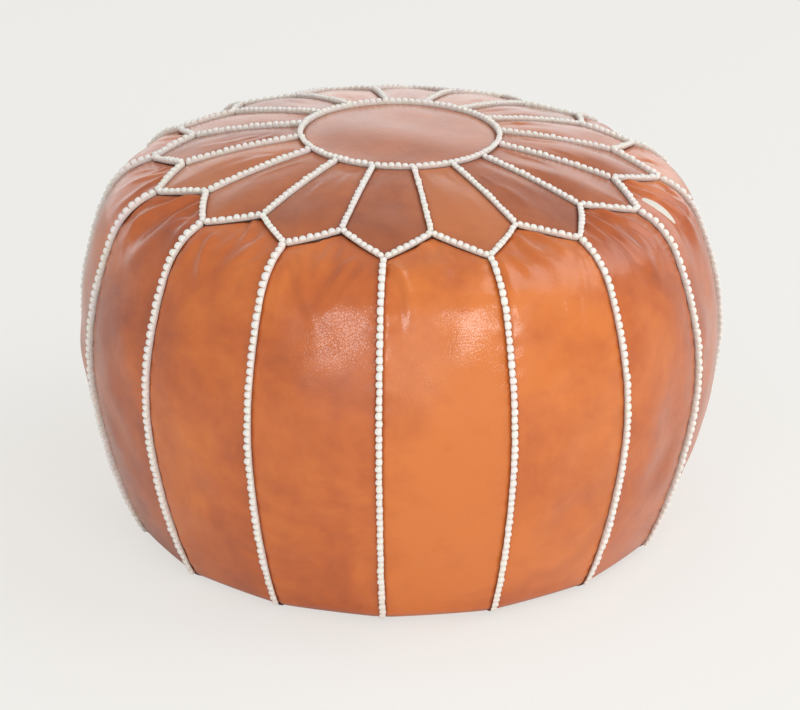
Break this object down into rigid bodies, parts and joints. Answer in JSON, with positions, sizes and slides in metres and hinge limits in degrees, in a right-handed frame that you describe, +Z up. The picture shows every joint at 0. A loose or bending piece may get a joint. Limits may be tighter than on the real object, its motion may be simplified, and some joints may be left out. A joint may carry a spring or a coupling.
{
  "type": "leather pouf",
  "caption": "Round stuffed leather footstool with a petal-patterned top, tall side panels, raised embroidered seams and a zip in its dished base.",
  "frame": {"origin": "centre of the round base, on the floor", "axes": "+Z up through the middle of the round top; the zip runs along X and closes towards +X; the pictured side faces -Y"},
  "size_m": [0.5582, 0.5582, 0.3461],
  "materials": {
    "top_leather": "satin",
    "side_leather": "satin",
    "base_leather": "matte",
    "seam_thread": "matte",
    "base_piping": "matte",
    "zip_tape": "matte",
    "zip_coil": "satin",
    "zip_brass": "satin",
    "liner_cotton": "matte",
    "filling_wadding": "matte"
  },
  "bodies": {
    "cover": {"top_medallion": "top_leather", "petal_01": "top_leather", "petal_02": "top_leather", "petal_03": "top_leather", "petal_04": "top_leather", "petal_05": "top_leather", "petal_06": "top_leather", "petal_07": "top_leather", "petal_08": "top_leather", "petal_09": "top_leather", "petal_10": "top_leather", "petal_11": "top_leather", "petal_12": "top_leather", "petal_13": "top_leather", "petal_14": "top_leather", "petal_15": "top_leather", "petal_16": "top_leather", "side_panel_01": "side_leather", "side_panel_02": "side_leather", "side_panel_03": "side_leather", "side_panel_04": "side_leather", "side_panel_05": "side_leather", "side_panel_06": "side_leather", "side_panel_07": "side_leather", "side_panel_08": "side_leather", "side_panel_09": "side_leather", "side_panel_10": "side_leather", "side_panel_11": "side_leather", "side_panel_12": "side_leather", "side_panel_13": "side_leather", "side_panel_14": "side_leather", "side_panel_15": "side_leather", "side_panel_16": "side_leather", "medallion_braid": "seam_thread", "spoke_braids": "seam_thread", "petal_edge_braid": "seam_thread", "side_braids": "seam_thread", "base_half_front": "base_leather", "base_half_back": "base_leather", "base_piping": "base_piping", "zip_tape_front": "zip_tape", "zip_tape_back": "zip_tape", "zip_coil_front": "zip_coil", "zip_coil_back": "zip_coil", "zip_top_stops": "zip_brass", "zip_bottom_stop": "zip_brass", "liner_bag": "liner_cotton", "liner_flap": "liner_cotton", "filling": "filling_wadding"},
    "slider": {"zip_slider": "zip_brass"},
    "pull": {"zip_pull": "zip_brass"}
  },
  "joints": [
    {"name": "zip_slide", "type": "slide", "parent": "cover", "child": "slider", "axis": [-1, 0, 0], "range_m": [0, 0.24], "deforming": ["zip_coil_front", "zip_coil_back"]},
    {"name": "pull_hinge", "type": "hinge", "parent": "slider", "child": "pull", "pos_m": [0.12024, 0, 0.0056], "axis": [0, -1, 0], "range_deg": [0, 180]}
  ]
}
